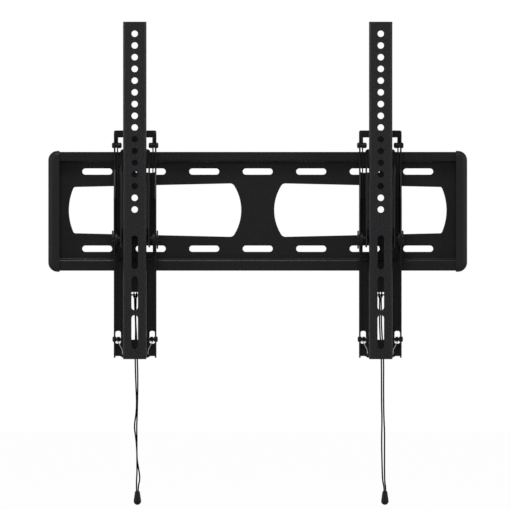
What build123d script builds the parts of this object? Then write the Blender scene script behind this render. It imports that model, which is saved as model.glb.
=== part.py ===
from build123d import *
import math
import os

os.makedirs("parts", exist_ok=True)

# Tilting wall bracket for a flat screen. X runs along the wall plate, Z is up and the wall is the
# plane Y = 0. Everything stands out from the wall towards -Y, and the origin is on the back face of
# the plate, in the middle of its hole pattern. A value named "out" is a distance from the wall.

# Sheet metal
plate_sheet = 2.0
hook_sheet = 2.0
tilt_sheet = 2.0
rail_sheet = 2.0
lock_sheet = 2.0
hook_plate_sheet = 1.5
bend_inside = 1.5

# Running and seating clearances
pin_clearance = 0.05
slide_clearance = 0.3
cap_clearance = 0.1

# Wall plate: a hat section with an upright lip at the top and a hanging lip at the bottom
plate_span = 539.1
plate_top = 74.8
plate_bottom = -78.0
lip_out = 16.0
upper_lip = 13.0
lower_lip = 15.0
wall_slot_pitch = 68.9
wall_slot_rows = 99.4
wall_slots_per_row = 7
wall_slot_length = 38.6
wall_slot_height = 8.0
window_far_end = 243.2
window_near_end = 21.3
window_far_half = 29.7
window_near_half = 34.4
window_far_bow = 6.5
window_near_bow = 11.0
window_far_corner = 3.0
window_near_corner = 6.5

# End caps
cap_width = 14.4
cap_wall = 2.5
cap_rise = 1.5
cap_out = 18.5
cap_corner = 12.0
cap_round = 7.0

# Arms
arm_spacing = 315.0

# Hook bracket: a channel that opens away from the wall
hook_width = 54.7
hook_gap = 1.5
hook_top = 102.4
hook_bottom = -189.9
hook_crosspiece = 9.1
hook_strut_half = 9.0
hook_top_corner = 2.5
flange_top_depth = 12.5
flange_mid_depth = 26.5
flange_low_depth = 15.5
flange_slope_top = 52.0
flange_slope_end = 14.0
flange_low_start = -50.0
flange_low_end = -78.0
flange_corner = 5.0
seat_rise = 3.5
seat_half = 19.3
seat_corner = 4.0
seat_foot = 57.0
seat_window_foot = 48.0
sight_slot_top = 25.0
sight_slot_foot = -8.0
sight_slot_width = 16.0
mid_window_half = 22.5
mid_window_top = -41.0
mid_window_foot = -68.0
low_window_half = 12.5
low_window_top = -105.6
low_window_foot = -166.6
stud_window_width = 6.85
stud_window_top = -155.5
stud_window_foot = -171.7
window_corner = 2.5
bowl_half = 16.0
bowl_shoulder = 19.5
bowl_drop = 2.1

# Hook plates, riveted inside the flanges on collars and hooked over the upper lip
hook_plate_stand = 1.8
hook_plate_gap = 0.1
hook_plate_foot = 15.0
hook_plate_out = 28.0
hook_nose_out = 4.5
hook_nose_drop = 9.0
hook_lip_room = 0.6
hook_seat_gap = 0.3

# Upper rivets
rivet_z = 83.1
rivet_out = 24.0
rivet_shank = 4.0
rivet_collar = 6.4
rivet_head = 7.4
rivet_head_height = 2.6
rivet_head_round = 2.0
rivet_tail = 7.2
rivet_tail_length = 4.8
rivet_tail_round = 2.0

# Tilt pivot
pivot_z = -38.0
pivot_out = 35.0
pivot_bolt = 6.0
pivot_bolt_head = 12.0
pivot_bolt_head_height = 2.5
pivot_bolt_taper = 20.0
pivot_boss = 11.0
pivot_disc = 20.0
pivot_disc_thick = 2.7
knob_washer = 13.0
knob_washer_thick = 0.4
knob_diameter = 23.4
knob_thick = 1.9
knob_lobes = 7
knob_notch = 5.0
knob_notch_offset = 1.25
knob_edge = 0.5

# Tilt bracket: carries the screen rail on the two pivots
tilt_width = 38.6
tilt_top = 57.0
tilt_web_top = 48.0
tilt_web_foot = -24.0
tilt_arm_depth = 11.0
tilt_ear_round = 10.0

# Screen rail
rail_width = 29.9
rail_depth = 15.0
rail_front = 66.0
rail_top = 240.8
rail_length = 432.0
rail_end_corner = 4.0
rail_hole = 8.2
rail_hole_pitch = 15.0
rail_holes = 16
rail_first_hole = 15.4
rail_slot_length = 43.4
rail_slot_first = 273.5
rail_slot_second = 325.8
rail_slot_third = 375.6

# Lock plate: slides up behind the lower lip, and the cord pulls it down
lock_out = 10.0
lock_overlap = 7.0
lock_travel = 9.0
lock_half = 19.0
lock_body_foot = -101.0
lock_leg_inner = 7.5
lock_leg_outer = 13.0
lock_tab_half = 22.5
lock_tab_height = 3.5
lock_bar_z = -109.1
lock_bar_height = 2.0
lock_corner = 3.0

# Guide pins of the lock plate
guide_x = 11.0
guide_z = -91.0
guide_neck = 4.0
guide_shoulder = 7.0
guide_head = 8.0
guide_head_height = 1.6

# Spring studs and lock springs
stud_z = -166.0
stud_out = 27.0
stud_shank = 4.0
stud_shoulder = 6.4
stud_shoulder_length = 1.5
stud_head = 7.0
stud_head_height = 1.8
stud_head_round = 1.4
stud_reach = 8.05
stud_end_head = 6.6
stud_end_head_height = 1.0
stud_end_head_round = 0.4
wire = 1.1
wire_joint = 1.3
coil_clearance = 0.3
coil_turns = 2.75
coil_pitch = 1.25
foot_leg_drop = 2.2
foot_leg_knee_in = 8.35
foot_leg_knee_z = -179.3
foot_leg_end_in = 8.85
foot_leg_end_z = -185.5
foot_leg_round = 2.0
lift_leg_out = 8.5

# Pull cords: a loop hitched on the lock plate's bar, with both strands let into a pull
cord = 1.9
cord_gap = 0.1
knot_spread = 2.2
knot_throat = 3.0
cord_arc_share = 0.45
pull_top = -361.4
pull_length = 18.0
pull_neck = 6.4
pull_belly = 9.8
pull_edge = 1.0

# Sizes that follow from those above
sheet_span = plate_span - 2 * cap_wall
shelf_top = plate_top - upper_lip
shelf_bottom = plate_bottom + lower_lip
lip_back = lip_out - plate_sheet
hook_back = lip_out + hook_gap
hook_face = hook_back + hook_sheet
hook_inner = hook_width / 2 - hook_sheet
hook_outer = hook_width / 2
tilt_outer = tilt_width / 2
rail_back = rail_front - rail_depth
hook_plate_top = hook_top - hook_crosspiece - hook_plate_gap
hook_plate_face = hook_inner - hook_plate_stand
hook_plate_inner = hook_plate_face - hook_plate_sheet
lock_front = lock_out + lock_sheet
lock_top = plate_bottom + lock_overlap
hang_z = plate_top + hook_seat_gap
stud_end = hook_inner - stud_reach
coil_radius = stud_shank / 2 + coil_clearance + wire / 2
cord_out = lock_out + lock_sheet / 2
pull_belly_z = pull_top - pull_length + pull_belly / 2
knot_turn_foot = lock_bar_z - lock_bar_height / 2 - cord_gap - cord
knot_foot = knot_turn_foot - knot_throat
strand_offset = (cord + cord_gap) / 2

arms = {"left": -arm_spacing / 2, "right": arm_spacing / 2}
both_sides = (-1, 1)

# Cord routes by arm, as X from the arm's middle and Z. Each strand hangs from the knot to the pull.
knot_x = {"left": 0.0, "right": 0.4}
pull_x = {"left": 2.65, "right": 6.15}
cord_routes = {
    "left": (
        [(knot_x["left"] - strand_offset, knot_foot), (-1.0, -145), (-0.2, -178), (0.3, -208),
         (0.8, -243), (-1.4, -281), (0.9, -315), (1.65, -342),
         (pull_x["left"] - strand_offset, pull_top)],
        [(knot_x["left"] + strand_offset, knot_foot), (1.0, -145), (2.4, -178), (2.95, -208),
         (3.0, -243), (1.4, -282), (3.1, -318), (5.9, -342), (3.65, -353),
         (pull_x["left"] + strand_offset, pull_top)],
    ),
    "right": (
        [(knot_x["right"] - strand_offset, knot_foot), (-0.6, -150), (1.7, -188), (1.8, -226),
         (2.1, -264), (2.15, -302), (2.8, -332), (5.15, -350),
         (pull_x["right"] - strand_offset, pull_top)],
        [(knot_x["right"] + strand_offset, knot_foot), (1.4, -150), (4.3, -188), (4.5, -226),
         (5.2, -264), (5.7, -302), (5.6, -332), (7.15, -350),
         (pull_x["right"] + strand_offset, pull_top)],
    ),
}

# Two coordinates nearer than this are the same place
same_place = 1e-6


def front_of(arm_x):
    """Plane on the wall, facing the room, centred on an arm: local axes are X and Z."""
    return Plane(origin=(arm_x, 0, 0), x_dir=(1, 0, 0), z_dir=(0, -1, 0))


def side_of(x):
    """Upright plane across the wall at x: local axes are the distance out and Z, normal is -X."""
    return Plane(origin=(x, 0, 0), x_dir=(0, -1, 0), z_dir=(-1, 0, 0))


def save(part, name):
    part.label = name
    export_step(part, f"parts/{name}.step")


# Wall plate
sheet_middle = plate_sheet / 2
lip_middle = lip_out - plate_sheet / 2
plate_route = [
    (lip_middle, plate_top),
    (lip_middle, shelf_top + sheet_middle),
    (sheet_middle, shelf_top + sheet_middle),
    (sheet_middle, shelf_bottom - sheet_middle),
    (lip_middle, shelf_bottom - sheet_middle),
    (lip_middle, plate_bottom),
]
plate_bend = bend_inside + plate_sheet / 2

with BuildPart() as wall_plate:
    with BuildSketch(side_of(0)):
        with BuildLine():
            FilletPolyline(plate_route, radius=plate_bend)
        trace(line_width=plate_sheet)
    extrude(amount=sheet_span / 2, both=True)
    with BuildSketch(Plane.XZ):
        with GridLocations(wall_slot_pitch, wall_slot_rows, wall_slots_per_row, 2):
            SlotOverall(wall_slot_length, wall_slot_height)
    extrude(amount=plate_sheet, mode=Mode.SUBTRACT)
    with BuildSketch(Plane.XZ):
        far_x = window_far_end - window_far_bow
        near_x = window_near_end + window_near_bow
        with BuildLine():
            Line((near_x, window_near_half), (far_x, window_far_half))
            ThreePointArc((far_x, window_far_half), (window_far_end, 0), (far_x, -window_far_half))
            Line((far_x, -window_far_half), (near_x, -window_near_half))
            ThreePointArc((near_x, -window_near_half), (window_near_end, 0), (near_x, window_near_half))
        make_face()
        corners = vertices().group_by(Axis.X)
        fillet(corners[-1], window_far_corner)
        near_points = vertices().filter_by(lambda v: abs(abs(v.Y) - window_near_half) < same_place)
        fillet(near_points, window_near_corner)
        mirror(about=Plane.YZ)
    extrude(amount=plate_sheet, mode=Mode.SUBTRACT)
save(wall_plate.part, "wall_plate")


# End caps, moulded plugs with a slot for the end of the plate's section
cap_middle = (plate_top + plate_bottom) / 2
cap_height = plate_top - plate_bottom + 2 * cap_rise
for cap_name, cap_side in (("end_cap_left", -1), ("end_cap_right", 1)):
    with BuildPart() as end_cap:
        with BuildSketch(Plane.XZ):
            with Locations((cap_side * (plate_span - cap_width) / 2, cap_middle)):
                Rectangle(cap_width, cap_height)
            fillet(vertices().sort_by(Axis.X)[::cap_side][-2:], cap_corner)
        extrude(amount=cap_out)
        front_edges = faces().sort_by(Axis.Y)[0].edges()
        inner_edge = front_edges.sort_by(Axis.X)[::cap_side][0]
        fillet([edge for edge in front_edges if edge != inner_edge], cap_round)
        with BuildSketch(side_of(0)):
            with BuildLine():
                FilletPolyline(plate_route, radius=plate_bend)
            trace(line_width=plate_sheet + 2 * cap_clearance)
            with Locations((lip_middle, plate_top), (lip_middle, plate_bottom)):
                Rectangle(plate_sheet + 2 * cap_clearance, 2 * cap_clearance)
        extrude(amount=-cap_side * (sheet_span / 2 + cap_clearance), mode=Mode.SUBTRACT)
    save(end_cap.part, cap_name)


def hook_bracket(arm_x):
    """Folded channel: the web lies in front of the plate's lips, the flanges point at the room."""
    flange_out = hook_back + flange_mid_depth
    with BuildPart() as bracket:
        with BuildSketch(Plane.XY.offset(hook_bottom)):
            with Locations((arm_x, -(hook_back + flange_out) / 2)):
                Rectangle(hook_width, flange_mid_depth)
            fillet(vertices().group_by(Axis.Y)[-1], bend_inside + hook_sheet)
            with BuildSketch(mode=Mode.PRIVATE) as hollow:
                with Locations((arm_x, -(hook_face + flange_out) / 2)):
                    Rectangle(2 * hook_inner, flange_mid_depth - hook_sheet)
                fillet(hollow.vertices().group_by(Axis.Y)[-1], bend_inside)
            add(hollow.sketch, mode=Mode.SUBTRACT)
        extrude(amount=hook_top - hook_bottom)
        with BuildSketch(side_of(arm_x)) as flange:
            with BuildLine():
                Polyline(
                    (hook_back, hook_top),
                    (hook_back + flange_top_depth, hook_top),
                    (hook_back + flange_top_depth, flange_slope_top),
                    (flange_out, flange_slope_end),
                    (flange_out, flange_low_start),
                    (hook_back + flange_low_depth, flange_low_end),
                    (hook_back + flange_low_depth, hook_bottom),
                    (hook_back, hook_bottom),
                    close=True,
                )
            make_face()
            fillet(flange.vertices().filter_by(lambda v: v.X > hook_back + same_place), flange_corner)
        extrude(amount=hook_width / 2, both=True, mode=Mode.INTERSECT)
        with BuildSketch(front_of(arm_x).offset(hook_back)) as outline:
            with Locations((0, (hook_top + hook_bottom) / 2)):
                Rectangle(hook_width, hook_top - hook_bottom)
            fillet(outline.vertices().group_by(Axis.Y)[-1], hook_top_corner)
        extrude(amount=flange_mid_depth, mode=Mode.INTERSECT)
        with BuildSketch(front_of(arm_x).offset(hook_back)) as openings:
            for side in both_sides:
                with BuildLine():
                    Polyline(
                        (side * hook_strut_half, plate_top + seat_rise),
                        (side * seat_half, plate_top + seat_rise),
                        (side * seat_half, plate_top - seat_rise),
                        (side * hook_inner, plate_top - seat_rise),
                        (side * hook_inner, rivet_z),
                        (side * (hook_plate_face + hook_plate_gap), rivet_z),
                        (side * (hook_plate_face + hook_plate_gap), hook_top - hook_crosspiece),
                        (side * hook_strut_half, hook_top - hook_crosspiece),
                        close=True,
                    )
                make_face()
            seat_points = openings.vertices().filter_by(
                lambda v: abs(abs(v.X) - seat_half) < same_place and v.Y > plate_top
            )
            fillet(seat_points, seat_corner)
            with Locations((0, (seat_foot + seat_window_foot) / 2)):
                RectangleRounded(2 * hook_inner, seat_foot - seat_window_foot, window_corner)
            with Locations((0, (sight_slot_top + sight_slot_foot) / 2)):
                SlotOverall(sight_slot_top - sight_slot_foot, sight_slot_width, rotation=90)
            with Locations((0, (mid_window_top + mid_window_foot) / 2)):
                RectangleRounded(2 * mid_window_half, mid_window_top - mid_window_foot, window_corner)
            with Locations((0, (low_window_top + low_window_foot) / 2)):
                RectangleRounded(2 * low_window_half, low_window_top - low_window_foot, window_corner)
            for side in both_sides:
                with Locations(
                    (
                        side * (hook_inner - stud_window_width / 2),
                        (stud_window_top + stud_window_foot) / 2,
                    )
                ):
                    RectangleRounded(stud_window_width, stud_window_top - stud_window_foot, window_corner)
                with BuildLine():
                    Polyline(
                        (side * bowl_half, hook_bottom),
                        (side * bowl_shoulder, hook_bottom + bowl_drop),
                        (side * hook_inner, hook_bottom + bowl_drop),
                        (side * hook_inner, hook_bottom),
                        close=True,
                    )
                make_face()
        extrude(amount=hook_sheet + bend_inside, mode=Mode.SUBTRACT)
        for hole_out, hole_z, hole in (
            (rivet_out, rivet_z, rivet_shank),
            (pivot_out, pivot_z, pivot_bolt),
            (stud_out, stud_z, stud_shank),
        ):
            with BuildSketch(side_of(arm_x)):
                with Locations((hole_out, hole_z)):
                    Circle(hole / 2 + pin_clearance)
            extrude(amount=hook_width / 2, both=True, mode=Mode.SUBTRACT)
        with BuildSketch(front_of(arm_x).offset(hook_back)):
            with Locations((-guide_x, guide_z), (guide_x, guide_z)):
                Circle(guide_neck / 2 + pin_clearance)
        extrude(amount=hook_sheet, mode=Mode.SUBTRACT)
    return bracket.part


def hook_plate(arm_x, side):
    """Flat plate on a collar inside a flange, with a nose that drops behind the upper lip."""
    with BuildPart() as plate:
        with BuildSketch(side_of(arm_x + side * hook_plate_face)) as outline:
            with BuildLine():
                Polyline(
                    (hook_face + bend_inside, hook_plate_foot),
                    (hook_plate_out, hook_plate_foot),
                    (hook_plate_out, hook_plate_top),
                    (hook_nose_out, hook_plate_top),
                    (hook_nose_out, hang_z - hook_nose_drop),
                    (lip_back - hook_lip_room, hang_z - hook_nose_drop),
                    (lip_back - hook_lip_room, hang_z),
                    (hook_face + bend_inside, hang_z),
                    close=True,
                )
            make_face()
            nose = outline.vertices().filter_by(lambda v: v.X < hook_nose_out + same_place)
            fillet(nose, seat_corner)
            with Locations((rivet_out, rivet_z)):
                Circle(rivet_shank / 2 + pin_clearance, mode=Mode.SUBTRACT)
        extrude(amount=side * hook_plate_sheet)
    return plate.part


def headed_pair(
    arm_x, out, z, shank, head, head_height, head_round, collar, collar_length,
    inner_end, tail, tail_height, tail_round,
):
    """A pair of round-headed pins through the flanges, each with a collar and a tail inside."""
    with BuildPart() as pair:
        for side in both_sides:
            for start, length, diameter in (
                (hook_outer, -head_height, head),
                (hook_outer, hook_outer - inner_end, shank),
                (hook_inner, collar_length, collar),
                (inner_end, tail_height, tail),
            ):
                with BuildSketch(side_of(arm_x + side * start)):
                    with Locations((out, z)):
                        Circle(diameter / 2)
                extrude(amount=side * length)
        rims = edges().filter_by(GeomType.CIRCLE)
        head_rims = rims.filter_by(lambda e: abs(e.radius - head / 2) < same_place).group_by(Axis.X)
        fillet(head_rims[0] + head_rims[-1], head_round)
        rims = edges().filter_by(GeomType.CIRCLE)
        tail_rims = rims.filter_by(
            lambda e: abs(e.radius - tail / 2) < same_place
            and abs(e.center().X - arm_x) < inner_end - same_place
        )
        fillet(tail_rims, tail_round)
    return pair.part


def tilt_bracket(arm_x):
    """Folded channel behind the rail: its flanges reach back to the two tilt pivots."""
    ear_back = pivot_out - tilt_ear_round
    with BuildPart() as bracket:
        with BuildSketch(Plane.XY.offset(pivot_z - tilt_ear_round)):
            with Locations((arm_x, -(rail_back + ear_back) / 2)):
                Rectangle(tilt_width, rail_back - ear_back)
            fillet(vertices().group_by(Axis.Y)[0], bend_inside + tilt_sheet)
            with BuildSketch(mode=Mode.PRIVATE) as hollow:
                with Locations((arm_x, -(rail_back - tilt_sheet + ear_back) / 2)):
                    Rectangle(tilt_width - 2 * tilt_sheet, rail_back - tilt_sheet - ear_back)
                fillet(hollow.vertices().group_by(Axis.Y)[0], bend_inside)
            add(hollow.sketch, mode=Mode.SUBTRACT)
        extrude(amount=tilt_top - pivot_z + tilt_ear_round)
        with BuildSketch(side_of(arm_x)) as ear:
            with Locations((pivot_out, pivot_z)):
                Circle(tilt_ear_round)
            with BuildLine():
                Polyline(
                    (pivot_out, pivot_z - tilt_ear_round),
                    (rail_back, pivot_z - tilt_ear_round),
                    (rail_back, tilt_top),
                    (rail_back - tilt_arm_depth, tilt_top),
                    (rail_back - tilt_arm_depth, tilt_web_foot + 2 * tilt_ear_round),
                    (ear_back, pivot_z),
                    close=True,
                )
            make_face()
            with Locations((pivot_out, pivot_z)):
                Circle(pivot_bolt / 2 + pin_clearance, mode=Mode.SUBTRACT)
        extrude(amount=tilt_width / 2, both=True, mode=Mode.INTERSECT)
        with BuildSketch(front_of(arm_x).offset(rail_back - tilt_sheet - bend_inside)):
            for low, high in (
                (pivot_z - tilt_ear_round, tilt_web_foot),
                (tilt_web_top, tilt_top),
            ):
                with Locations((0, (low + high) / 2)):
                    Rectangle(tilt_width - 2 * tilt_sheet, high - low)
            with Locations((0, (sight_slot_top + sight_slot_foot) / 2)):
                SlotOverall(sight_slot_top - sight_slot_foot, sight_slot_width, rotation=90)
        extrude(amount=tilt_sheet + bend_inside, mode=Mode.SUBTRACT)
    return bracket.part


def screen_rail(arm_x):
    """Folded channel with a row of screw holes and three long slots for the screen's own screws."""
    rail_foot = rail_top - rail_length
    with BuildPart() as rail:
        with BuildSketch(Plane.XY.offset(rail_foot)):
            with Locations((arm_x, -(rail_front + rail_back) / 2)):
                Rectangle(rail_width, rail_depth)
            fillet(vertices().group_by(Axis.Y)[0], bend_inside + rail_sheet)
            with BuildSketch(mode=Mode.PRIVATE) as hollow:
                with Locations((arm_x, -(rail_front - rail_sheet + rail_back) / 2)):
                    Rectangle(rail_width - 2 * rail_sheet, rail_depth - rail_sheet)
                fillet(hollow.vertices().group_by(Axis.Y)[0], bend_inside)
            add(hollow.sketch, mode=Mode.SUBTRACT)
        extrude(amount=rail_length)
        with BuildSketch(side_of(arm_x)) as outline:
            with Locations(((rail_front + rail_back) / 2, rail_top - rail_length / 2)):
                Rectangle(rail_depth, rail_length)
            fillet(outline.vertices().group_by(Axis.X)[0], rail_end_corner)
        extrude(amount=rail_width / 2, both=True, mode=Mode.INTERSECT)
        last_hole = rail_first_hole + (rail_holes - 1) * rail_hole_pitch
        with BuildSketch(front_of(arm_x).offset(rail_front)):
            with Locations((0, rail_top - (rail_first_hole + last_hole) / 2)):
                with GridLocations(1, rail_hole_pitch, 1, rail_holes):
                    Circle(rail_hole / 2)
            for slot in (rail_slot_first, rail_slot_second, rail_slot_third):
                with Locations((0, rail_top - slot - rail_slot_length / 2)):
                    SlotOverall(rail_slot_length, rail_hole, rotation=90)
        extrude(amount=-rail_sheet, mode=Mode.SUBTRACT)
    return rail.part


def pivot_bolt_at(arm_x, side):
    """Round-head bolt from inside the tilt bracket out to the knob."""
    head_face = tilt_outer - tilt_sheet
    bolt_end = hook_outer + knob_washer_thick + knob_thick - knob_edge - slide_clearance
    with BuildPart() as bolt:
        with BuildSketch(side_of(arm_x + side * head_face)):
            with Locations((pivot_out, pivot_z)):
                Circle(pivot_bolt_head / 2)
        extrude(amount=side * pivot_bolt_head_height, taper=pivot_bolt_taper)
        with BuildSketch(side_of(arm_x + side * head_face)):
            with Locations((pivot_out, pivot_z)):
                Circle(pivot_bolt / 2)
        extrude(amount=-side * (bolt_end - head_face))
    return bolt.part


def pivot_spacer_at(arm_x, side):
    """Spacer between the tilt bracket and a flange: a boss with a wide disc against the flange."""
    disc_face = hook_inner - pivot_disc_thick
    with BuildPart() as spacer:
        for start, end, diameter in (
            (tilt_outer, disc_face, pivot_boss),
            (disc_face, hook_inner, pivot_disc),
        ):
            with BuildSketch(side_of(arm_x + side * start)):
                with Locations((pivot_out, pivot_z)):
                    Circle(diameter / 2)
                    Circle(pivot_bolt / 2 + pin_clearance, mode=Mode.SUBTRACT)
            extrude(amount=-side * (end - start))
    return spacer.part


def knob_washer_at(arm_x, side):
    """Thrust washer between a flange and its knob."""
    with BuildPart() as washer:
        with BuildSketch(side_of(arm_x + side * hook_outer)):
            with Locations((pivot_out, pivot_z)):
                Circle(knob_washer / 2)
                Circle(pivot_bolt / 2 + pin_clearance, mode=Mode.SUBTRACT)
        extrude(amount=-side * knob_washer_thick)
    return washer.part


def tilt_knob(arm_x, side):
    """Flat lobed hand knob, threaded on the pivot bolt."""
    lobe_ring = knob_diameter / 2 + knob_notch_offset
    with BuildPart() as knob:
        with BuildSketch(side_of(arm_x + side * (hook_outer + knob_washer_thick))):
            with Locations((pivot_out, pivot_z)):
                Circle(knob_diameter / 2)
                with PolarLocations(lobe_ring, knob_lobes):
                    Circle(knob_notch / 2, mode=Mode.SUBTRACT)
        extrude(amount=-side * knob_thick)
        outer_face = faces().sort_by(Axis.X)[::side][-1]
        chamfer(outer_face.edges(), knob_edge)
        with BuildSketch(side_of(arm_x + side * (hook_outer + knob_washer_thick))):
            with Locations((pivot_out, pivot_z)):
                Circle(pivot_bolt / 2 + pin_clearance)
        extrude(amount=-side * (knob_thick - knob_edge), mode=Mode.SUBTRACT)
    return knob.part


def lock_plate(arm_x):
    """Flat sliding plate behind the lower lip, with a bar for the cord and two lifting tabs."""
    tab_foot = stud_z - coil_radius + wire / 2 + slide_clearance
    leg_middle = (lock_leg_inner + lock_leg_outer) / 2
    with BuildPart() as plate:
        with BuildSketch(front_of(arm_x).offset(lock_out)) as outline:
            with Locations((0, (lock_top + lock_body_foot) / 2)):
                Rectangle(2 * lock_half, lock_top - lock_body_foot)
            fillet(outline.vertices().group_by(Axis.Y)[-1], lock_corner)
            with Locations((0, lock_bar_z)):
                Rectangle(2 * leg_middle, lock_bar_height)
            for side in both_sides:
                with Locations((side * leg_middle, (lock_body_foot + tab_foot) / 2)):
                    Rectangle(lock_leg_outer - lock_leg_inner, lock_body_foot - tab_foot)
                with Locations((side * (leg_middle + lock_tab_half) / 2, tab_foot + lock_tab_height / 2)):
                    Rectangle(lock_tab_half - leg_middle, lock_tab_height)
                with Locations((side * guide_x, guide_z + lock_travel / 2)):
                    SlotCenterToCenter(
                        lock_travel,
                        guide_neck + 2 * slide_clearance,
                        rotation=90,
                        mode=Mode.SUBTRACT,
                    )
        extrude(amount=lock_sheet)
    return plate.part


def guide_pins(arm_x):
    """Shouldered pins on the hook bracket's web that the lock plate slides on."""
    head_out = lock_out - slide_clearance
    with BuildPart() as pins:
        for x in (-guide_x, guide_x):
            for start, length, diameter in (
                (head_out - guide_head_height, guide_head_height, guide_head),
                (head_out, hook_face - head_out, guide_neck),
                (lock_front + slide_clearance, hook_back - lock_front - slide_clearance, guide_shoulder),
                (hook_face, guide_head_height, guide_shoulder),
            ):
                with BuildSketch(front_of(arm_x).offset(start)):
                    with Locations((x, guide_z)):
                        Circle(diameter / 2)
                extrude(amount=length)
    return pins.part


def lock_spring(arm_x, side):
    """Torsion spring on a stud: a leg on the bracket's foot and a leg that lifts the lock plate. A ball a
    little thicker than the wire joins each leg to the coil."""
    coil_start = stud_end + stud_end_head_height + wire
    coil_height = coil_turns * coil_pitch
    coil_x = arm_x - coil_start
    foot_x = coil_x - coil_height
    lift_z = stud_z - coil_radius
    coil_back = stud_out - coil_radius
    foot_out = hook_face + wire / 2 + pin_clearance
    knee_x = arm_x - hook_inner + foot_leg_knee_in
    end_x = arm_x - hook_inner + foot_leg_end_in
    with BuildPart() as spring:
        with BuildLine() as coil:
            Helix(
                coil_pitch, coil_height, coil_radius,
                center=(coil_x, -stud_out, stud_z), direction=(-1, 0, 0),
            )
        with BuildSketch(Plane(origin=coil.line @ 0, z_dir=coil.line % 0)):
            Circle(wire / 2)
        sweep(is_frenet=True)
        with Locations((coil_x, -stud_out, lift_z), (foot_x, -coil_back, stud_z)):
            Sphere(wire_joint / 2)
        with BuildSketch(Plane(origin=(coil_x, -stud_out, lift_z), z_dir=(0, 1, 0))):
            Circle(wire / 2)
        extrude(amount=stud_out - lift_leg_out)
        with BuildLine():
            FilletPolyline(
                (foot_x, -coil_back, stud_z),
                (foot_x, -coil_back, stud_z - foot_leg_drop),
                (knee_x, -foot_out, foot_leg_knee_z),
                (end_x, -foot_out, foot_leg_end_z),
                radius=foot_leg_round,
            )
        with BuildSketch(Plane(origin=(foot_x, -coil_back, stud_z), z_dir=(0, 0, -1))):
            Circle(wire / 2)
        sweep()
        if side > 0:
            mirror(about=Plane.YZ.offset(arm_x), mode=Mode.REPLACE)
    return spring.part


def cord_knot(arm_x, x):
    """Lark's head hitch: two turns round the lock plate's bar, a bight in front and a throat below."""
    hole = lock_bar_height + 2 * cord_gap
    half_width = knot_spread + cord / 2
    throat_half = strand_offset + cord / 2
    with BuildPart() as knot:
        for strand in both_sides:
            with BuildSketch(side_of(arm_x + x + strand * knot_spread)):
                with Locations((cord_out, lock_bar_z)):
                    RectangleRounded(hole + 2 * cord, hole + 2 * cord, cord)
                    Rectangle(hole, hole, mode=Mode.SUBTRACT)
            extrude(amount=cord / 2, both=True)
        with BuildSketch(side_of(arm_x + x)):
            with Locations((cord_out + hole / 2 + cord, lock_bar_z - hole / 2)):
                Circle(cord / 2)
        extrude(amount=half_width, both=True)
        with BuildSketch(front_of(arm_x + x).offset(cord_out)):
            with BuildLine():
                Polyline(
                    (-half_width, knot_turn_foot + cord / 2),
                    (half_width, knot_turn_foot + cord / 2),
                    (throat_half, knot_foot),
                    (-throat_half, knot_foot),
                    close=True,
                )
            make_face()
        extrude(amount=cord / 2, both=True)
    return knot.part


def cord_strand(arm_x, route):
    """One strand of the loop, straight runs joined by arcs as large as the runs allow."""
    points = [Vector(arm_x + x, -cord_out, z) for x, z in route]
    radii = []
    for before, corner, after in zip(points, points[1:], points[2:]):
        run_in = corner - before
        run_out = after - corner
        half_turn = math.radians(run_in.get_angle(run_out)) / 2
        radii.append(cord_arc_share * min(run_in.length, run_out.length) / math.tan(half_turn))
    with BuildPart() as strand:
        with BuildLine() as path:
            FilletPolyline(points, radius=radii)
        with BuildSketch(Plane(origin=points[0], z_dir=points[1] - points[0])):
            Circle(cord / 2)
        sweep()
    section = math.pi * cord**2 / 4
    ratio = strand.part.volume / (section * path.wire().length)
    print("cord radii", [round(r) for r in radii], "volume ratio", round(ratio, 4))
    return strand.part


def cord_pull(arm_x, x):
    """Bell-shaped moulded pull on the end of the loop."""
    foot = pull_top - pull_length
    with BuildPart() as pull:
        with BuildSketch(Plane(origin=(arm_x + x, -cord_out, 0), x_dir=(1, 0, 0), z_dir=(0, -1, 0))):
            with BuildLine():
                Polyline(
                    (0, pull_top),
                    (pull_neck / 2 - pull_edge, pull_top),
                    (pull_neck / 2, pull_top - pull_edge),
                    (pull_belly / 2, pull_belly_z),
                )
                RadiusArc((pull_belly / 2, pull_belly_z), (0, foot), pull_belly / 2)
                Line((0, foot), (0, pull_top))
            make_face()
        revolve(axis=Axis((arm_x + x, -cord_out, 0), (0, 0, 1)))
    return pull.part


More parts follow.
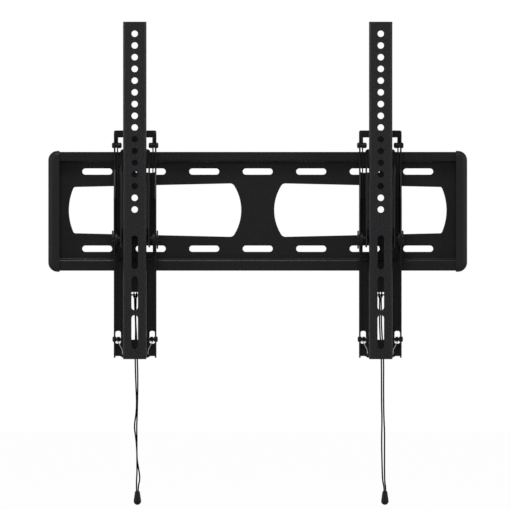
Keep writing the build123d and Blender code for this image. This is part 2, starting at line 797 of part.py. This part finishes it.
for arm, arm_x in arms.items():
    save(hook_bracket(arm_x), f"{arm}_hook_bracket")
    save(tilt_bracket(arm_x), f"{arm}_tilt_bracket")
    save(screen_rail(arm_x), f"{arm}_screen_rail")
    save(lock_plate(arm_x), f"{arm}_lock_plate")
    save(guide_pins(arm_x), f"{arm}_guide_pins")
    upper = headed_pair(
        arm_x, rivet_out, rivet_z, rivet_shank, rivet_head, rivet_head_height, rivet_head_round,
        rivet_collar, hook_plate_stand, hook_plate_inner, rivet_tail, rivet_tail_length, rivet_tail_round,
    )
    save(upper, f"{arm}_hook_rivets")
    studs = headed_pair(
        arm_x, stud_out, stud_z, stud_shank, stud_head, stud_head_height, stud_head_round,
        stud_shoulder, stud_shoulder_length,
        stud_end, stud_end_head, stud_end_head_height, stud_end_head_round,
    )
    save(studs, f"{arm}_spring_studs")
    outward = math.copysign(1, arm_x)
    for side_name, side in (("outer", outward), ("inner", -outward)):
        save(hook_plate(arm_x, side), f"{arm}_hook_plate_{side_name}")
        save(pivot_bolt_at(arm_x, side), f"{arm}_pivot_bolt_{side_name}")
        save(pivot_spacer_at(arm_x, side), f"{arm}_pivot_spacer_{side_name}")
        save(knob_washer_at(arm_x, side), f"{arm}_knob_washer_{side_name}")
        save(tilt_knob(arm_x, int(side)), f"{arm}_tilt_knob_{side_name}")
        save(lock_spring(arm_x, side), f"{arm}_lock_spring_{side_name}")
    save(cord_knot(arm_x, knot_x[arm]), f"{arm}_cord_knot")
    for strand_name, route in zip(("left_strand", "right_strand"), cord_routes[arm]):
        save(cord_strand(arm_x, route), f"{arm}_cord_{strand_name}")
    save(cord_pull(arm_x, pull_x[arm]), f"{arm}_cord_pull")
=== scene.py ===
"""Looks of a tilting screen wall bracket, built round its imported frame."""

import math

import bmesh
import bpy
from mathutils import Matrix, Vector


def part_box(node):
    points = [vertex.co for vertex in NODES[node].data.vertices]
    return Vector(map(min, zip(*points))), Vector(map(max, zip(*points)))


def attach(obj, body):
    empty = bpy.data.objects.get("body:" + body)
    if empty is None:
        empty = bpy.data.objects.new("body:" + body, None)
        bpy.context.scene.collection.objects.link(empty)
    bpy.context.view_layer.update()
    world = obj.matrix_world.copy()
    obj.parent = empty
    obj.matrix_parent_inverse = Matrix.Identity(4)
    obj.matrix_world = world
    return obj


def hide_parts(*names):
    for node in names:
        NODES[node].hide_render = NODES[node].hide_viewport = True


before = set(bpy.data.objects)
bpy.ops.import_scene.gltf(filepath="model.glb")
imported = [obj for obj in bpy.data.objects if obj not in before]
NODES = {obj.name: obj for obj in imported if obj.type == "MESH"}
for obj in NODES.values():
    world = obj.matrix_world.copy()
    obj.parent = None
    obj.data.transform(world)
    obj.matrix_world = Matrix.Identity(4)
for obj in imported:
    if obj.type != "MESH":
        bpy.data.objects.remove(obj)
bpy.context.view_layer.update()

bl_info = {
    "name": "Tilting Screen Bracket",
    "version": (1, 0, 0),
    "blender": (4, 5, 0),
    "location": "View3D > Sidebar > Bracket",
    "description": "Finishes, pull cords and studio for a tilting screen wall bracket",
    "category": "Object",
}

MM = 0.001
SIDES = ("outer", "inner")

# X of each arm's middle, in mm
ARMS = {"left": -157.5, "right": 157.5}

# Pull cord routes by arm, from the hitch down to the pull, as X from the arm's middle,
# distance out from the wall and Z, in mm
CORD_ROUTES = {
    "left": {
        "left_strand": (
            (-0.93, 11.0, -115.1), (-0.8, 11.8, -125), (0.3, 12.0, -142), (0.4, 12.0, -160),
            (-0.4, 11.4, -180), (0.1, 11.2, -204), (0.8, 11.4, -226), (1.8, 12.0, -248),
            (0.9, 12.0, -263), (-1.6, 11.5, -278), (0.6, 12.0, -293), (2.0, 12.0, -308),
            (2.1, 12.0, -324), (2.2, 11.4, -338), (1.3, 11.0, -351), (1.65, 11.0, -361.4),
        ),
        "right_strand": (
            (0.93, 11.0, -115.1), (0.8, 10.2, -125), (0.3, 10.0, -142), (1.4, 10.0, -160),
            (1.9, 10.6, -180), (3.0, 10.8, -204), (3.2, 10.6, -226), (2.7, 10.0, -248),
            (2.4, 10.0, -263), (1.7, 10.5, -278), (2.0, 10.0, -293), (1.9, 10.0, -308),
            (2.2, 10.0, -322), (5.0, 10.6, -337), (5.9, 11.0, -347), (3.65, 11.0, -355),
            (3.65, 11.0, -361.4),
        ),
    },
    "right": {
        "left_strand": (
            (-0.53, 11.0, -115.1), (-0.72, 11.0, -128), (-0.72, 11.0, -150), (1.7, 11.0, -188),
            (1.8, 11.0, -226), (1.9, 11.0, -250), (2.5, 11.0, -271), (2.0, 11.0, -290),
            (2.1, 11.0, -310), (2.7, 11.0, -335), (3.3, 11.0, -349), (5.15, 11.0, -356),
            (5.15, 11.0, -361.4),
        ),
        "right_strand": (
            (1.33, 11.0, -115.1), (1.62, 11.0, -128), (1.62, 11.0, -150), (4.6, 11.0, -188),
            (4.4, 11.0, -226), (4.6, 11.0, -256), (5.0, 11.0, -270), (5.7, 11.0, -285),
            (5.7, 11.0, -302), (5.65, 11.0, -332), (5.9, 11.0, -350), (7.15, 11.0, -357),
            (7.15, 11.0, -361.4),
        ),
    },
}

# Half of the hitch round the lock plate's bar, as X from the hitch's middle, distance out and Z,
# in mm. Its middle, and how much higher its crest stands, differ by arm
HITCH_X = {"left": 0.0, "right": 0.4}
HITCH_RISE = {"left": 0.0, "right": 2.3}
HITCH_CREST = 5
HITCH_TURN = (
    (0.93, 11.0, -115.1),
    (0.93, 11.0, -114.0),
    (0.93, 10.5, -112.6),
    (2.3, 9.0, -111.6),
    (1.65, 8.8, -107.6),
    (1.65, 11.0, -106.5),
    (1.65, 13.2, -107.6),
    (1.65, 13.5, -110.0),
    (1.0, 13.5, -111.2),
)

# End caps and the way out along X from each, with their round edges, how far their backs stand
# off the wall and how far inside their corners the plate is cut, in mm
CAPS = {"end_cap_left": -1, "end_cap_right": 1}
CAP_CORNER = 12.0
CAP_ROUND = 7.0
CAP_EDGE = 1.2
CAP_BACK = 0.2
CORNER_INSET = 1.0
ROUND_SEGMENTS = 8

# Points this close are merged, and points this close to a plane lie in it, in mm
MERGE = 0.001
LEVEL = 0.01

# Bends sharper than this, in degrees, are edges, and flat faces weigh this much in the shading
SHARP_ANGLE = 30
FLAT_WEIGHT = 100

# Widths of what the finishes are patterned with, in mm, and the slant of the braid in degrees
FILM_WAVE = 45.0
FLOW_MARK = 18.0
DIE_LINE = 0.5
BRAID_STRAND = 0.6
BRAID_SLANT = 35

# Second colours that the finishes mix in
MOULDING_LIGHT = "#1c1c1d"
WIRE_DULL = "#9b9c9e"
# Painted shade: the dark colour of the springs' coils
WIRE_PAINTED_SHADE = "#1b1b1c"
CORD_SHADE = "#070707"

# The springs are bright up to the first height and dark from the second, as Z in mm. The dark
# part is painted shade, where the coils lie in shade
WIRE_SHADE_HEIGHTS = (-169.5, -167.5)

# A wave texture's bands turn through this many radians per unit
WAVE_TURN = 20.0

# Softboxes, with their place and size in metres and the stage property that holds their power
LAMPS = {
    "key_softbox": ((-0.2, -1.1, 1.5), 0.7, "key_power"),
    "left_softbox": ((-2.2, -1.4, 0.5), 0.6, "side_power"),
    "right_softbox": ((2.2, -1.4, 0.5), 0.6, "side_power"),
}

# Camera sensor in mm and the farthest that the camera sees, in metres
SENSOR = 36.0
SIGHT = 50.0

# Floor, with its size in metres, its paint, and the share of it that shows plain white under the
# bracket and past its shadow, with the distances in metres over which that changes. The lower
# share under the bracket paints a grey pool of shade there, round its cast shadow
FLOOR_SIZE = 12.0
FLOOR_PAINT = "#f4f4f4"
FLOOR_WHITE = (0.75, 0.985)
SHADOW_REACH = (0.4, 1.0)


def linear(hex_colour):
    """An sRGB hex colour as linear RGBA."""
    channels = [int(hex_colour[i : i + 2], 16) / 255 for i in (1, 3, 5)]
    light = [c / 12.92 if c <= 0.04045 else ((c + 0.055) / 1.055) ** 2.4 for c in channels]
    return (*light, 1.0)


def add(tree, kind, links=None, **settings):
    """Adds a node with its settings. A socket in links is joined, and any other value is set."""
    node = tree.nodes.new(kind)
    for name, value in settings.items():
        setattr(node, name, value)
    for socket, value in (links or {}).items():
        if isinstance(value, bpy.types.NodeSocket):
            tree.links.new(value, node.inputs[socket])
        else:
            node.inputs[socket].default_value = value
    return node


def new_material(name):
    """A material with an empty node tree, and that tree."""
    material = bpy.data.materials.new(name)
    material.use_nodes = True
    material.node_tree.nodes.clear()
    return material, material.node_tree


def per_metre(size_mm):
    """Texture scale that gives a pattern cells of about this size in mm."""
    return 1 / (size_mm * MM)


class BracketFinish(bpy.types.PropertyGroup):
    """Colours and grain of the finishes"""

    coat: bpy.props.FloatVectorProperty(
        name="Powder coat", description="Colour of the coated sheet metal", subtype="COLOR",
        size=4, min=0, max=1, default=linear("#0d0d0e"),
    )
    coat_light: bpy.props.FloatVectorProperty(
        name="Coat grains", description="Colour of the powder coat's light grains",
        subtype="COLOR", size=4, min=0, max=1, default=linear("#1e1e1f"),
    )
    coat_grit: bpy.props.FloatProperty(
        name="Coat grit", description="Width of a grain in the powder coat, in mm",
        default=0.9, min=0.1,
    )
    # The rails' grains are lighter than the rest of the coat's: a coarser grain, and painted light
    # that makes the front rails brighter than the same coat elsewhere
    rail_lit_grains: bpy.props.FloatVectorProperty(
        name="Rail grains", description="Colour of the light grains in the rails' coat",
        subtype="COLOR", size=4, min=0, max=1, default=linear("#2b2b2d"),
    )
    rail_grit: bpy.props.FloatProperty(
        name="Rail grit", description="Width of a grain in the rails' coat, in mm",
        default=1.5, min=0.1,
    )
    cap: bpy.props.FloatVectorProperty(
        name="End caps", description="Colour of the end caps", subtype="COLOR",
        size=4, min=0, max=1, default=linear("#1a1a1b"),
    )
    moulding: bpy.props.FloatVectorProperty(
        name="Mouldings", description="Colour of the knobs, spacers and pulls", subtype="COLOR",
        size=4, min=0, max=1, default=linear("#101011"),
    )
    moulding_grain: bpy.props.FloatProperty(
        name="Moulding grain", description="Width of the spark-eroded grain, in mm",
        default=0.7, min=0.1,
    )
    # The springs show this colour below their coils; above, painted shade darkens them
    wire: bpy.props.FloatVectorProperty(
        name="Spring wire", description="Colour of the springs where they are rubbed bright",
        subtype="COLOR", size=4, min=0, max=1, default=linear("#c6c7c9"),
    )
    cord: bpy.props.FloatVectorProperty(
        name="Cord", description="Colour of the braided cord", subtype="COLOR",
        size=4, min=0, max=1, default=linear("#0e0e0f"),
    )


class BracketCord(bpy.types.PropertyGroup):
    """Size of the pull cords"""

    diameter: bpy.props.FloatProperty(
        name="Diameter", description="Thickness of the braided cord", default=1.9 * MM,
        min=0.5 * MM, unit="LENGTH", subtype="DISTANCE",
    )


class BracketStage(bpy.types.PropertyGroup):
    """Camera, floor and lamps"""

    camera: bpy.props.FloatVectorProperty(
        name="Camera", description="Where the camera stands, facing the wall",
        subtype="TRANSLATION", unit="LENGTH", size=3, default=(-3.5 * MM, -10.066, -57.8 * MM),
    )
    lens: bpy.props.FloatProperty(
        name="Lens", description="Focal length on a 36 mm sensor, in mm", default=551.5, min=10,
    )
    floor: bpy.props.FloatProperty(
        name="Floor", description="Height of the floor under the bracket",
        default=-0.42, unit="LENGTH",
    )
    key_power: bpy.props.FloatProperty(
        name="Key", description="Power of the softbox above the camera",
        default=26, min=0, unit="POWER",
    )
    side_power: bpy.props.FloatProperty(
        name="Sides", description="Power of each side softbox", default=20, min=0, unit="POWER",
    )
    sky: bpy.props.FloatProperty(
        name="Fill", description="Strength of the even fill light", default=0.05, min=0,
    )


def powder_coat(finish, name, light, grit_width):
    """Polyester powder coat, sprayed and stoved: an even matt skin whose grit softens the light."""
    material, tree = new_material(name)
    place = add(tree, "ShaderNodeTexCoord").outputs["Object"]
    # Real grit is near 0.3 mm, too fine to show here, so it is drawn coarser
    grit = add(
        tree, "ShaderNodeTexNoise",
        {"Vector": place, "Scale": per_metre(grit_width), "Detail": 3.0, "Roughness": 0.6},
    )
    film = add(
        tree, "ShaderNodeTexNoise",
        {"Vector": place, "Scale": per_metre(FILM_WAVE), "Detail": 2.0},
    )
    grain = add(
        tree, "ShaderNodeMapRange",
        {
            "Value": grit.outputs["Fac"], "From Min": 0.35, "From Max": 0.65,
            "To Min": 0.0, "To Max": 1.0,
        },
    )
    colour = add(
        tree, "ShaderNodeMix",
        {"Factor": grain.outputs["Result"], "A": tuple(finish.coat), "B": tuple(light)},
        data_type="RGBA",
    )
    gloss = add(
        tree, "ShaderNodeMapRange",
        {
            "Value": film.outputs["Fac"], "From Min": 0.3, "From Max": 0.7,
            "To Min": 0.26, "To Max": 0.36,
        },
    )
    bump = add(
        tree, "ShaderNodeBump",
        {"Height": grit.outputs["Fac"], "Strength": 0.16, "Distance": 0.12 * MM},
    )
    skin = add(
        tree, "ShaderNodeBsdfPrincipled",
        {
            "Base Color": colour.outputs["Result"], "Roughness": gloss.outputs["Result"],
            "Normal": bump.outputs["Normal"], "IOR": 1.5, "Specular IOR Level": 0.1,
        },
    )
    add(tree, "ShaderNodeOutputMaterial", {"Surface": skin.outputs["BSDF"]})
    return material


def moulded_plastic(finish, tone):
    """Injection-moulded polypropylene from a spark-eroded tool: a low sheen on a pebbled grain."""
    material, tree = new_material("black_moulded_polypropylene")
    place = add(tree, "ShaderNodeTexCoord").outputs["Object"]
    grain = add(
        tree, "ShaderNodeTexVoronoi",
        {"Vector": place, "Scale": per_metre(finish.moulding_grain)},
        feature="SMOOTH_F1",
    )
    flow = add(
        tree, "ShaderNodeTexNoise",
        {"Vector": place, "Scale": per_metre(FLOW_MARK), "Detail": 2.0},
    )
    colour = add(
        tree, "ShaderNodeMix",
        {"Factor": flow.outputs["Fac"], "A": tuple(tone), "B": linear(MOULDING_LIGHT)},
        data_type="RGBA",
    )
    gloss = add(
        tree, "ShaderNodeMapRange",
        {
            "Value": flow.outputs["Fac"], "From Min": 0.3, "From Max": 0.7,
            "To Min": 0.4, "To Max": 0.5,
        },
    )
    bump = add(
        tree, "ShaderNodeBump",
        {"Height": grain.outputs["Distance"], "Strength": 0.12, "Distance": 0.08 * MM},
    )
    skin = add(
        tree, "ShaderNodeBsdfPrincipled",
        {
            "Base Color": colour.outputs["Result"], "Roughness": gloss.outputs["Result"],
            "Normal": bump.outputs["Normal"], "IOR": 1.49, "Specular IOR Level": 0.1,
        },
    )
    add(tree, "ShaderNodeOutputMaterial", {"Surface": skin.outputs["BSDF"]})
    return material


def spring_wire(finish):
    """Drawn music wire: fine die lines, bright steel, and painted shade that darkens the coil."""
    material, tree = new_material("blackened_spring_wire")
    place = add(tree, "ShaderNodeTexCoord").outputs["Object"]
    lines = add(
        tree, "ShaderNodeTexNoise",
        {"Vector": place, "Scale": per_metre(DIE_LINE), "Detail": 2.0},
    )
    bright = add(
        tree, "ShaderNodeMix",
        {"Factor": lines.outputs["Fac"], "A": linear(WIRE_DULL), "B": tuple(finish.wire)},
        data_type="RGBA",
    )
    height = add(tree, "ShaderNodeSeparateXYZ", {"Vector": place})
    # Painted shade: above these heights the wire turns dark, standing in for the shade on the coils
    black = add(
        tree, "ShaderNodeMapRange",
        {
            "Value": height.outputs["Z"],
            "From Min": WIRE_SHADE_HEIGHTS[0] * MM, "From Max": WIRE_SHADE_HEIGHTS[1] * MM,
            "To Min": 0.0, "To Max": 1.0,
        },
    )
    tone = add(
        tree, "ShaderNodeMix",
        {
            "Factor": black.outputs["Result"], "A": bright.outputs["Result"],
            "B": linear(WIRE_PAINTED_SHADE),
        },
        data_type="RGBA",
    )
    gloss = add(
        tree, "ShaderNodeMapRange",
        {
            "Value": lines.outputs["Fac"], "From Min": 0.3, "From Max": 0.7,
            "To Min": 0.22, "To Max": 0.38,
        },
    )
    bump = add(
        tree, "ShaderNodeBump",
        {"Height": lines.outputs["Fac"], "Strength": 0.1, "Distance": 0.03 * MM},
    )
    skin = add(
        tree, "ShaderNodeBsdfPrincipled",
        {
            "Base Color": tone.outputs["Result"], "Roughness": gloss.outputs["Result"],
            "Normal": bump.outputs["Normal"], "Metallic": 1.0,
        },
    )
    add(tree, "ShaderNodeOutputMaterial", {"Surface": skin.outputs["BSDF"]})
    return material


def braided_cord(finish):
    """Braided polyester cord: two sets of slanting strands, a little lighter on their crowns."""
    material, tree = new_material("black_braided_polyester")
    place = add(tree, "ShaderNodeTexCoord").outputs["Object"]
    scale = per_metre(BRAID_STRAND) * math.tau / WAVE_TURN
    strands = []
    for slant in (BRAID_SLANT, -BRAID_SLANT):
        turned = add(
            tree, "ShaderNodeMapping",
            {"Vector": place, "Rotation": (0.0, math.radians(slant), 0.0)},
        )
        strands.append(
            add(
                tree, "ShaderNodeTexWave",
                {"Vector": turned.outputs["Vector"], "Scale": scale},
                bands_direction="Z",
            )
        )
    braid = add(
        tree, "ShaderNodeMath",
        {0: strands[0].outputs["Fac"], 1: strands[1].outputs["Fac"]},
        operation="MAXIMUM",
    )
    colour = add(
        tree, "ShaderNodeMix",
        {"Factor": braid.outputs["Value"], "A": linear(CORD_SHADE), "B": tuple(finish.cord)},
        data_type="RGBA",
    )
    bump = add(
        tree, "ShaderNodeBump",
        {"Height": braid.outputs["Value"], "Strength": 0.2, "Distance": 0.06 * MM},
    )
    skin = add(
        tree, "ShaderNodeBsdfPrincipled",
        {
            "Base Color": colour.outputs["Result"], "Normal": bump.outputs["Normal"],
            "Roughness": 0.85, "Specular IOR Level": 0.03,
        },
    )
    add(tree, "ShaderNodeOutputMaterial", {"Surface": skin.outputs["BSDF"]})
    return material


def dress(names, material):
    """Gives CAD nodes a finish."""
    for name in names:
        mesh = NODES[name].data
        mesh.materials.clear()
        mesh.materials.append(material)


def nurbs_cord(name, points, diameter, material):
    """A round cord on one NURBS spline with these control points, in metres."""
    curve = bpy.data.curves.new(name, "CURVE")
    curve.dimensions = "3D"
    curve.bevel_depth = diameter / 2
    curve.bevel_resolution = 4
    curve.use_fill_caps = True
    spline = curve.splines.new("NURBS")
    spline.points.add(len(points) - 1)
    for point, place in zip(spline.points, points):
        point.co = (*place, 1.0)
    spline.order_u = 3
    spline.use_endpoint_u = True
    spline.resolution_u = 12
    curve.materials.append(material)
    piece = bpy.data.objects.new(name, curve)
    bpy.context.scene.collection.objects.link(piece)
    return piece


def wall_piece(shape, name, material, node):
    """Makes a bmesh a piece of the wall body that stands for a CAD node."""
    mesh = bpy.data.meshes.new(name)
    shape.to_mesh(mesh)
    shape.free()
    mesh.materials.append(material)
    piece = bpy.data.objects.new(name, mesh)
    bpy.context.scene.collection.objects.link(piece)
    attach(piece, "wall")
    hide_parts(node)
    return piece


def apply_modifiers(context, piece):
    """Makes a piece's modifiers part of its mesh."""
    shown = piece.evaluated_get(context.evaluated_depsgraph_get())
    mesh = bpy.data.meshes.new_from_object(shown)
    piece.modifiers.clear()
    piece.data = mesh


def smooth_bends(context, piece):
    """Shades bends and rounds smooth, leaves edges sharp and keeps flat faces flat."""
    piece.data.shade_smooth()
    piece.data.set_sharp_from_angle(angle=math.radians(SHARP_ANGLE))
    even = piece.modifiers.new("flat_faces", "WEIGHTED_NORMAL")
    even.weight = FLAT_WEIGHT
    even.keep_sharp = True
    apply_modifiers(context, piece)


def round_edges(shape, edges, radius_mm):
    """Rounds these edges of a bmesh."""
    bmesh.ops.bevel(
        shape, geom=edges, offset=radius_mm * MM, offset_type="OFFSET",
        segments=ROUND_SEGMENTS, profile=0.5, affect="EDGES", material=-1,
    )


class BRACKET_OT_wall_plate(bpy.types.Operator):
    """Makes the wall plate with its corners cut to fit inside round end caps"""

    bl_idname = "bracket.wall_plate"
    bl_label = "Wall Plate"

    def execute(self, context):
        finish = context.scene.bracket_finish
        coat = powder_coat(finish, "black_powder_coat", finish.coat_light, finish.coat_grit)
        plate = self.make_plate(context, coat)
        plastic = moulded_plastic(finish, finish.cap)
        for node, side in CAPS.items():
            self.make_cap(context, node, side, plate, plastic)
        return {"FINISHED"}

    def make_plate(self, context, coat):
        shape = bmesh.new()
        shape.from_mesh(NODES["wall_plate"].data)
        bmesh.ops.remove_doubles(shape, verts=shape.verts, dist=MERGE * MM)
        for node, side in CAPS.items():
            low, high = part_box(node)
            rim = high.x if side > 0 else low.x
            for end, edge in ((-1, low.z), (1, high.z)):
                outward = Vector((side, 0, end)).normalized()
                centre = Vector((rim - side * CAP_CORNER * MM, 0, edge - end * CAP_CORNER * MM))
                cut = bmesh.ops.bisect_plane(
                    shape, geom=[*shape.verts, *shape.edges, *shape.faces],
                    plane_co=centre + outward * (CAP_CORNER - CORNER_INSET) * MM,
                    plane_no=outward, clear_outer=True,
                )
                loop = [part for part in cut["geom_cut"] if isinstance(part, bmesh.types.BMEdge)]
                bmesh.ops.holes_fill(shape, edges=loop)
        bmesh.ops.recalc_face_normals(shape, faces=shape.faces)
        plate = wall_piece(shape, "slotted_plate", coat, "wall_plate")
        smooth_bends(context, plate)
        return plate

    def make_cap(self, context, node, side, plate, plastic):
        low, high = (corner.copy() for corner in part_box(node))
        high.y -= CAP_BACK * MM
        outer, inner = (high.x, low.x) if side > 0 else (low.x, high.x)
        near = LEVEL * MM
        shape = bmesh.new()
        bmesh.ops.create_cube(shape, size=1)
        bmesh.ops.scale(shape, vec=high - low, verts=shape.verts)
        bmesh.ops.translate(shape, vec=(low + high) / 2, verts=shape.verts)
        corners = [
            edge for edge in shape.edges
            if all(abs(v.co.x - outer) < near for v in edge.verts)
            and abs(edge.verts[0].co.z - edge.verts[1].co.z) < near
        ]
        round_edges(shape, corners, CAP_CORNER)
        front = [
            edge for edge in shape.edges
            if all(abs(v.co.y - low.y) < near for v in edge.verts)
            and not all(abs(v.co.x - inner) < near for v in edge.verts)
        ]
        round_edges(shape, front, CAP_ROUND)
        mouth = [
            edge for edge in shape.edges
            if all(
                abs(v.co.y - low.y) < near and abs(v.co.x - inner) < near for v in edge.verts
            )
        ]
        round_edges(shape, mouth, CAP_EDGE)
        bmesh.ops.recalc_face_normals(shape, faces=shape.faces)
        cap = wall_piece(shape, f"round_{node}", plastic, node)
        slot = cap.modifiers.new("plate_slot", "BOOLEAN")
        slot.object = plate
        slot.operation = "DIFFERENCE"
        slot.solver = "EXACT"
        apply_modifiers(context, cap)
        smooth_bends(context, cap)


class BRACKET_OT_arms(bpy.types.Operator):
    """Coats the hook brackets, tilt brackets, rails and locks"""

    bl_idname = "bracket.arms"
    bl_label = "Arms"

    def execute(self, context):
        finish = context.scene.bracket_finish
        coat = powder_coat(finish, "black_powder_coat", finish.coat_light, finish.coat_grit)
        # The rails get a lighter copy of the powder coat: a coarser grain, and painted light
        rail_lit_coat = powder_coat(
            finish, "textured_powder_coat", finish.rail_lit_grains, finish.rail_grit
        )
        coated = (
            "hook_bracket", "tilt_bracket", "lock_plate", "guide_pins", "hook_rivets",
            "spring_studs",
        )
        coated_pairs = ("hook_plate", "pivot_bolt", "knob_washer")
        for arm in ARMS:
            dress([f"{arm}_screen_rail"], rail_lit_coat)
            dress([f"{arm}_{piece}" for piece in coated], coat)
            for side in SIDES:
                dress([f"{arm}_{piece}_{side}" for piece in coated_pairs], coat)
        return {"FINISHED"}


class BRACKET_OT_hardware(bpy.types.Operator):
    """Finishes the knobs, spacers, springs and pulls"""

    bl_idname = "bracket.hardware"
    bl_label = "Knobs and Springs"

    def execute(self, context):
        finish = context.scene.bracket_finish
        plastic = moulded_plastic(finish, finish.moulding)
        wire = spring_wire(finish)
        for arm in ARMS:
            dress([f"{arm}_cord_pull"], plastic)
            for side in SIDES:
                dress([f"{arm}_tilt_knob_{side}", f"{arm}_pivot_spacer_{side}"], plastic)
                dress([f"{arm}_lock_spring_{side}"], wire)
        return {"FINISHED"}


class BRACKET_OT_cords(bpy.types.Operator):
    """Hangs the looped pull cords from the lock plates"""

    bl_idname = "bracket.cords"
    bl_label = "Pull Cords"

    def execute(self, context):
        diameter = context.scene.bracket_cord.diameter
        braid = braided_cord(context.scene.bracket_finish)
        for arm, arm_x in ARMS.items():
            middle = arm_x + HITCH_X[arm]
            rises = [HITCH_RISE[arm] * (i == HITCH_CREST) for i in range(len(HITCH_TURN))]
            loop = [(x, out, z + rise) for (x, out, z), rise in zip(HITCH_TURN, rises)]
            turn = [(middle - x, -out, z) for x, out, z in loop]
            back = [(middle + x, -out, z) for x, out, z in reversed(loop)]
            hitch_points = [Vector(p) * MM for p in turn + back]
            hitch = nurbs_cord(f"{arm}_cord_hitch", hitch_points, diameter, braid)
            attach(hitch, f"{arm}_lock")
            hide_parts(f"{arm}_cord_knot")
            on_cord = [hitch, NODES[f"{arm}_cord_pull"]]
            for strand, route in CORD_ROUTES[arm].items():
                points = [Vector((arm_x + x, -out, z)) * MM for x, out, z in route]
                cord = nurbs_cord(f"{arm}_pull_cord_{strand}", points, diameter, braid)
                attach(cord, f"{arm}_lock")
                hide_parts(f"{arm}_cord_{strand}")
                on_cord = on_cord[1:]
        return {"FINISHED"}


class BRACKET_OT_stage(bpy.types.Operator):
    """Sets the floor, lamps, white surround and camera"""

    bl_idname = "bracket.stage"
    bl_label = "Stage"

    def execute(self, context):
        scene = context.scene
        stage = scene.bracket_stage
        scene.view_settings.view_transform = "Standard"
        self.make_world(scene, stage)
        self.make_floor(stage)
        for name, (place, size, power) in LAMPS.items():
            self.make_lamp(name, place, size, getattr(stage, power))
        camera_data = bpy.data.cameras.new("camera")
        camera_data.sensor_width = SENSOR
        camera_data.lens = stage.lens
        camera_data.clip_end = SIGHT
        camera = bpy.data.objects.new("camera", camera_data)
        camera.location = stage.camera
        camera.rotation_euler = (math.pi / 2, 0, 0)
        scene.collection.objects.link(camera)
        scene.camera = camera
        return {"FINISHED"}

    def seen(self, tree):
        """1 for rays that show the surround: from the camera, in gloss and through glass."""
        path = add(tree, "ShaderNodeLightPath")
        gloss = add(
            tree, "ShaderNodeMath",
            {0: path.outputs["Is Camera Ray"], 1: path.outputs["Is Glossy Ray"]},
            operation="MAXIMUM",
        )
        return add(
            tree, "ShaderNodeMath",
            {0: gloss.outputs["Value"], 1: path.outputs["Is Transmission Ray"]},
            operation="MAXIMUM",
        ).outputs["Value"]

    def make_world(self, scene, stage):
        scene.world = bpy.data.worlds.new("white_studio")
        scene.world.use_nodes = True
        tree = scene.world.node_tree
        tree.nodes.clear()
        fill = add(tree, "ShaderNodeBackground", {"Color": (1, 1, 1, 1), "Strength": stage.sky})
        white = add(tree, "ShaderNodeBackground", {"Color": (1, 1, 1, 1), "Strength": 1.0})
        both = add(
            tree, "ShaderNodeMixShader",
            {0: self.seen(tree), 1: fill.outputs["Background"], 2: white.outputs["Background"]},
        )
        add(tree, "ShaderNodeOutputWorld", {"Surface": both.outputs["Shader"]})

    def make_floor(self, stage):
        bpy.ops.mesh.primitive_plane_add(size=FLOOR_SIZE, location=(0, 0, stage.floor))
        floor = bpy.context.object
        floor.name = "floor"
        material, tree = new_material("white_studio_floor")
        paint = add(tree, "ShaderNodeBsdfDiffuse", {"Color": linear(FLOOR_PAINT)})
        glow = add(tree, "ShaderNodeEmission", {"Color": (1, 1, 1, 1), "Strength": 1.0})
        place = add(tree, "ShaderNodeTexCoord").outputs["Object"]
        reach = add(tree, "ShaderNodeVectorMath", {0: place}, operation="LENGTH")
        # Painted shade: nearer the bracket less of the floor glows white, which leaves a grey pool
        # under it
        white = add(
            tree, "ShaderNodeMapRange",
            {
                "Value": reach.outputs["Value"],
                "From Min": SHADOW_REACH[0], "From Max": SHADOW_REACH[1],
                "To Min": FLOOR_WHITE[0], "To Max": FLOOR_WHITE[1],
            },
            interpolation_type="SMOOTHSTEP",
        )
        share = add(
            tree, "ShaderNodeMath",
            {0: self.seen(tree), 1: white.outputs["Result"]},
            operation="MULTIPLY",
        )
        both = add(
            tree, "ShaderNodeMixShader",
            {0: share.outputs["Value"], 1: paint.outputs["BSDF"], 2: glow.outputs["Emission"]},
        )
        add(tree, "ShaderNodeOutputMaterial", {"Surface": both.outputs["Shader"]})
        floor.data.materials.append(material)

    def make_lamp(self, name, place, size, power):
        """A square softbox that faces the bracket's origin."""
        lamp = bpy.data.lights.new(name, "AREA")
        lamp.shape = "SQUARE"
        lamp.size = size
        lamp.energy = power
        holder = bpy.data.objects.new(name, lamp)
        holder.location = place
        holder.rotation_euler = (-Vector(place)).to_track_quat("-Z", "Y").to_euler()
        bpy.context.scene.collection.objects.link(holder)


class BRACKET_PT_sidebar(bpy.types.Panel):
    """Lists the settings, and the steps that dress the bracket"""

    bl_idname = "BRACKET_PT_sidebar"
    bl_label = "Screen Bracket"
    bl_space_type = "VIEW_3D"
    bl_region_type = "UI"
    bl_category = "Bracket"

    def draw(self, context):
        for group in GROUPS:
            box = self.layout.box()
            settings = getattr(context.scene, group)
            for name in settings.__annotations__:
                box.prop(settings, name)
        for operator in STEPS:
            self.layout.operator(operator.bl_idname)


GROUPS = {
    "bracket_finish": BracketFinish,
    "bracket_cord": BracketCord,
    "bracket_stage": BracketStage,
}
STEPS = (
    BRACKET_OT_stage,
    BRACKET_OT_cords,
    BRACKET_OT_wall_plate,
    BRACKET_OT_arms,
    BRACKET_OT_hardware,
)


def register():
    for group in GROUPS.values():
        bpy.utils.register_class(group)
    for name, group in GROUPS.items():
        setattr(bpy.types.Scene, name, bpy.props.PointerProperty(type=group))
    for step in STEPS:
        bpy.utils.register_class(step)
    bpy.utils.register_class(BRACKET_PT_sidebar)


def unregister():
    bpy.utils.unregister_class(BRACKET_PT_sidebar)
    for step in reversed(STEPS):
        bpy.utils.unregister_class(step)
    for name, group in reversed(GROUPS.items()):
        delattr(bpy.types.Scene, name)
        bpy.utils.unregister_class(group)


def main():
    register()
    bpy.ops.bracket.stage()
    bpy.ops.bracket.cords()
    bpy.ops.bracket.wall_plate()
    bpy.ops.bracket.arms()
    bpy.ops.bracket.hardware()


if __name__ == "__main__":
    main()
